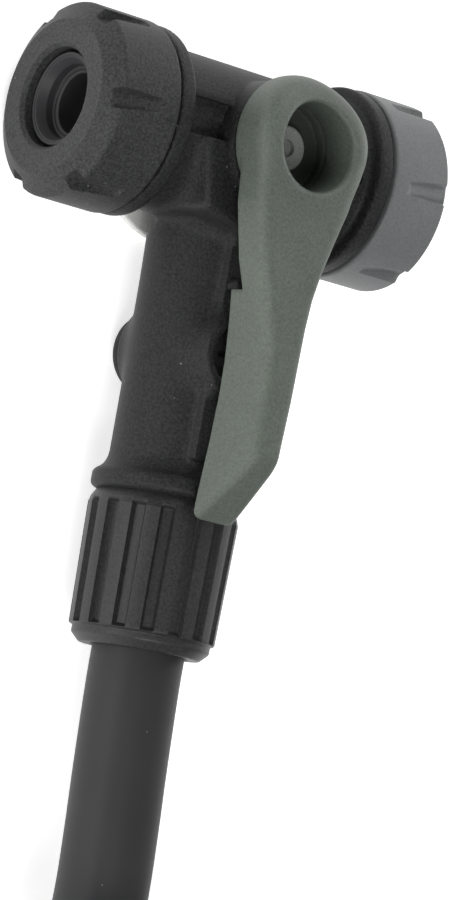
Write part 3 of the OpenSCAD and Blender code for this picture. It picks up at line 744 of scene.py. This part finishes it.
def notchShift(sense):
    # inside a notch the radius drops to a floor; one side of the notch is steep, the other fans out
    pitch = 360 / cap["notches"]

    def shift(along, out, angle):
        apart = sense * ((np.degrees(angle) + pitch / 2) % pitch - pitch / 2)
        run = np.clip((along - cap["notchEnd"]) / (capOut - 1.5 - cap["notchEnd"]), 0, 1)
        wide = cap["wideEnd"] + (cap["wideFront"] - cap["wideEnd"]) * run
        inside = smoothStep((cap["steep"] - apart) / 0.7 + 0.5)
        inside = inside * smoothStep((apart + wide) / 1.6 + 0.5)
        inside = inside * smoothStep((along - cap["notchEnd"]) / 0.5 + 0.5)
        floorR = capR - cap["deepEnd"] - (cap["deepFront"] - cap["deepEnd"]) * run
        return -inside * np.maximum(0, out - floorR) * (out > 8.5)
    return shift


def makeCap(name, node, mirrored, material):
    thread, mouth, floor = cap["thread"], cap["mouth"], capOut - cap["mouthDeep"]
    outline = rounded([
        [capIn, thread, 0], [capIn, capR, 0.35], [capOut - cap["chamferLong"], capR, 0.5],
        [capOut, capR - cap["chamferDeep"], 0.25], [capOut, mouth + 0.5, 0.15],
        [capOut - 0.5, mouth, 0.15], [floor, mouth, 0], [floor, thread, 0]])
    outline = finer(outline, cap["step"])
    points, quads = turned(outline, cap["sides"], "x", notchShift(1 if mirrored else -1))
    if mirrored:
        points = points * (-1, 1, 1)
    addPiece(name, points, facingOut(points, quads), material, "head", [node], 40)


def makeGasket(name, node, hole, mirrored):
    # its nose stands a little inside the cap's mouth, with a lip and two steps down to the hole
    nose = capOut - 1.3
    outline = rounded([
        [capOut - 12.2, hole, 0.2], [capOut - 12.2, 7.8, 0.3], [capOut - 4.1, 7.8, 0.3],
        [capOut - 4.1, 6.0, 0.1], [nose, 6.0, 0.3], [nose, hole + 1.75, 0.16],
        [nose - 0.22, hole + 1.66, 0.08], [nose - 0.1, hole + 1.5, 0.1],
        [nose - 1.3, hole + 0.85, 0.1], [nose - 2.3, hole + 0.8, 0.1], [nose - 2.35, hole + 0.55, 0.08],
        [nose - 2.6, hole + 0.5, 0.08], [nose - 2.45, hole + 0.28, 0.1], [nose - 2.6, hole, 0.1]])
    points, quads = turned(finer(outline, 0.5), 192, "x")
    if mirrored:
        points = points * (-1, 1, 1)
    addPiece(name, points, facingOut(points, quads), materials["gasketRubber"],
             "head", [node], 30)


makeCap("blackCapShell", "schrader_cap", True, materials["blackCap"])
makeCap("greyCapShell", "presta_cap", False, materials["greyCap"])
makeGasket("wideGasket", "schrader_gasket", 3.9, True)
makeGasket("narrowGasket", "presta_gasket", 3.05, False)

# Collar nut: turned, with straight grip grooves
nut = {
    "sides": 384, "step": 0.35, "grooves": 16, "half": 4.9, "deep": 0.85, "from": 1.7, "to": 2.4,
    "bore": 7.8, "seat": 7.05, "hole": 6.25,
}


def nutShift(along, out, angle):
    # the radius drops inside each groove, with soft walls and ends
    pitch = 360 / nut["grooves"]
    apart = np.abs(np.degrees(angle) % pitch - pitch / 2)
    start, stop = -nutTop + nut["from"], -nutEnd - nut["to"]
    inside = smoothStep((nut["half"] - apart) / 0.9 + 0.5)
    inside = inside * smoothStep((along - start) / 0.5 + 0.5)
    inside = inside * smoothStep((stop - along) / 0.5 + 0.5)
    return -inside * nut["deep"] * (out > nutR - 0.6)


def makeNut():
    top, end = -nutTop, -nutEnd
    outline = rounded([
        [top, nut["bore"], 0], [top, nutR - 0.6, 0.3],
        [top + 1.1, nutR + 0.05, 0.4], [top + 1.9, nutR + 0.3, 0.4],
        [end - 2.2, nutR, 0.25], [end - 2.0, nutR - 0.5, 0.15], [end - 1.1, nutR - 0.5, 0.5],
        [end, nutR - 1.6, 0.4], [end, nut["hole"], 0.2], [end - 1, nut["hole"] - 0.05, 0],
        [end - 1, nut["seat"], 0], [end - 6.6, nut["seat"], 0], [end - 6.6, nut["bore"], 0]])
    points, quads = turned(finer(outline, nut["step"]), nut["sides"], "y", nutShift)
    addPiece("collarNut", points, quads, materials["blackNut"],
             "head", ["collar_nut"], 40)


makeNut()

# End fitting: a crimped ferrule that points along -X
fitting = {
    "place": (20, -108, 12.1), "length": 18.0, "radius": 7.0, "crimps": (4.0, 7.5, 11.0),
    "bore": 6.05, "hole": 3.6, "web": 1.5,
}


def makeFerrule():
    radius, bore, length = fitting["radius"], fitting["bore"], fitting["length"]
    corners = [[0, bore, 0], [0, radius, 0.6]]
    for middle in fitting["crimps"]:
        corners += [[middle - 0.9, radius, 0.3], [middle - 0.5, radius - 0.5, 0.3],
                    [middle + 0.5, radius - 0.5, 0.3], [middle + 0.9, radius, 0.3]]
    corners += [[length, radius, 1.2], [length, fitting["hole"], 0],
                [length - fitting["web"], fitting["hole"], 0], [length - fitting["web"], bore, 0]]
    points, quads = turned(finer(rounded(corners), 1.0), 96, "x")
    points = points * (-1, 1, 1) + np.array(fitting["place"])
    return addPiece("hoseFerrule", points, facingOut(points, quads), materials["platedSteel"],
                    "head", ["end_ferrule"], 40)


# Bleed spring: an open coil between the button's end and the plug, squashed as the button goes in
spring = {
    "at": (0, -26.8), "low": 0.64, "high": 4.06, "radius": 2.25, "wire": 0.34, "turns": 4.0,
    "pressed": 0.48,
}


def makeSpring():
    # a helix: round at a steady rate and up at a rate that is lower at both ends
    t = np.linspace(0, 1, 180)
    angle = t * spring["turns"] * 2 * math.pi
    half = spring["wire"] / 2
    # the first and last turns close up, as ground ends do
    rise = smoothStep((t * spring["turns"] - 0.5) / (spring["turns"] - 1)) * 0.5 + t * 0.5
    height = spring["low"] + half + rise * (spring["high"] - spring["low"] - 2 * half)
    x, y = spring["at"]
    route = np.stack([
        x + spring["radius"] * np.cos(angle), y + spring["radius"] * np.sin(angle), height], -1)
    points, quads = sweptTube(route, half, 12)
    piece = addPiece("bleedCoil", points, quads, materials["steel"],
                     "head", ["bleed_spring"], 60)
    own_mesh(piece)


makeSpring()

# Strap: a loop round the two stacked turns, with its end lapped over on top
strap = {
    "across": 60.0, "away": -228.0, "low": -5.7, "high": 6.3, "radius": 6.4,
    "width": 16.0, "thick": 0.8,
    # how far out, from and to as shares of the loop, and steps
    "laps": [(0, 0, 1, 161), (0.8, -0.09, 0.12, 40)],
}


def strapPath(grow, start, stop, count):
    # straight sides and half-round ends, from the middle of the top; start and stop are shares of
    # the whole loop. What is left of the length beside the two straight runs is the angle turned.
    r = strap["radius"] + grow
    tall = strap["high"] - strap["low"]
    quarter = math.pi * r / 2
    s = np.linspace(start, stop, count) % 1 * (4 * quarter + 2 * tall)
    fallen = np.clip(s - quarter, 0, tall)
    climbed = np.clip(s - 3 * quarter - tall, 0, tall)
    angle = (s - fallen - climbed) / r
    return np.stack([r * np.sin(angle), strap["high"] - fallen + climbed + r * np.cos(angle)], -1)


def makeStrap():
    # a rounded strip carried along each lap
    half, thick = strap["width"] / 2, strap["thick"] / 2
    edge = rounded([[-half, -thick, 0.3], [half, -thick, 0.3], [half, thick, 0.3], [-half, thick, 0.3]])
    edge = finer(edge, 1.0)
    meshPoints, meshQuads, base = [], [], 0
    for grow, start, stop, count in strap["laps"]:
        whole = stop - start == 1
        line = strapPath(grow, start, stop, count)
        if whole:
            line = line[:-1]
        ahead = np.roll(line, -1, 0) - np.roll(line, 1, 0) if whole else np.gradient(line, axis=0)
        ahead /= np.linalg.norm(ahead, axis=1)[:, None]
        out = np.stack([-ahead[:, 1], ahead[:, 0]], -1)
        rings = len(line)
        x = np.repeat(edge[None, :, 0], rings, 0)
        yz = line[:, None] + out[:, None] * edge[None, :, 1:2]
        yz = yz + np.array([strap["away"], 0])
        points = np.concatenate([x[..., None] + strap["across"], yz], -1)
        index = np.arange(rings * len(edge)).reshape(rings, len(edge))
        if whole:
            index = np.vstack([index, index[:1]])
        beside = np.roll(index, -1, 1)
        quads = np.stack([index[:-1], beside[:-1], beside[1:], index[1:]], -1).reshape(-1, 4)
        points = points.reshape(-1, 3)
        if not whole:
            for ring in (index[0], index[-1][::-1]):
                points = np.vstack([points, points[ring].mean(0)])
                fan = np.stack([np.roll(ring, -1), ring, np.full(len(ring), len(points) - 1),
                                np.full(len(ring), -1)], -1)
                quads = np.vstack([quads, fan])
        quads = facingOut(points, quads)
        meshPoints.append(points)
        meshQuads.append(np.where(quads >= 0, quads + base, -1))
        base += len(points)
    return addPiece("coilStrap", np.vstack(meshPoints), np.vstack(meshQuads), materials["wovenStrap"],
                    "head", ["coil_tie"], 50)


hoseFerrule = makeFerrule()
coilStrap = makeStrap()
print("turned pieces and strap made")
makeHose()

# CAD pieces that keep their shape get their finish
cadFinish = {
    "gasket_washers": "steel", "plunger": "whitePlastic", "core_pin": "brass", "cam_shaft": "steel",
    "shaft_seals": "sealRubber", "bleed_seal": "sealRubber", "stem_seal": "sealRubber",
    "hose_barb": "brass", "hose_collet": "whitePlastic", "end_barb": "brass", "end_washer": "sealRubber",
    "lever_screw": "shaftGrey", "rear_disc": "greyDisc", "bleed_button": "blackBody",
    "bleed_plug": "blackBody", "end_nut": "platedSteel",
}


def finishNodes():
    for node, finish in cadFinish.items():
        piece = frame["nodes"][node]
        piece.data.materials.clear()
        piece.data.materials.append(materials[finish])


finishNodes()


# Pale floor and studio lamps; places in millimetres about the head, sizes in metres
stage = {"half": 3.0, "pale": 0.9, "glow": 0.6, "sky": 0.25, "aim": (0, -30, 0)}
lamps = {
    "keyBox": ((-270, -420, 520), (0.25, 0.25), 2.4),
    "topBox": ((150, 520, 350), (0.5, 0.5), 1.9),
    "fillBox": ((300, -300, 700), (0.7, 0.7), 0.7),
    "edgeBox": ((-650, -100, 60), (0.3, 0.6), 2.4),
    "farEdgeBox": ((600, 200, 60), (0.3, 0.5), 1.8),
}


def makeStage():
    data = bpy.data.meshes.new("floor")
    half, pale = stage["half"], stage["pale"]
    corners = [(-half, -half, 0), (half, -half, 0), (half, half, 0), (-half, half, 0)]
    data.from_pydata(corners, [], [(0, 1, 2, 3)])
    floor = bpy.data.objects.new("floor", data)
    bpy.context.scene.collection.objects.link(floor)
    finish = Finish("paleFloor", Specular_IOR_Level=0.0, Roughness=0.9)
    finish.shader.inputs["Base Color"].default_value = (pale, pale, pale, 1)
    finish.shader.inputs["Emission Color"].default_value = (1, 1, 1, 1)
    finish.shader.inputs["Emission Strength"].default_value = stage["glow"]
    data.materials.append(finish.material)


def softBox(name, place, size, power):
    data = bpy.data.lights.new(name, "AREA")
    data.shape = "RECTANGLE"
    data.size, data.size_y = size
    data.energy = power
    lamp = bpy.data.objects.new(name, data)
    bpy.context.scene.collection.objects.link(lamp)
    # an area lamp shines along its own -Z, so back points from the aim to the lamp
    place = world(place)
    back = place - world(stage["aim"])
    back /= np.linalg.norm(back)
    side = np.cross([0, 0, 1.0], back)
    side /= np.linalg.norm(side)
    up = np.cross(back, side)
    rows = [[side[k], up[k], back[k], place[k]] for k in range(3)]
    lamp.matrix_world = Matrix(rows + [[0, 0, 0, 1]])


makeStage()
for name, (place, size, power) in lamps.items():
    softBox(name, place, size, power)
sky = bpy.data.worlds.new("studio")
sky.use_nodes = True
sky.node_tree.nodes["Background"].inputs["Color"].default_value = (1, 1, 1, 1)
sky.node_tree.nodes["Background"].inputs["Strength"].default_value = stage["sky"]
bpy.context.scene.world = sky
bpy.context.scene.view_settings.view_transform = "Standard"
print("stage set")
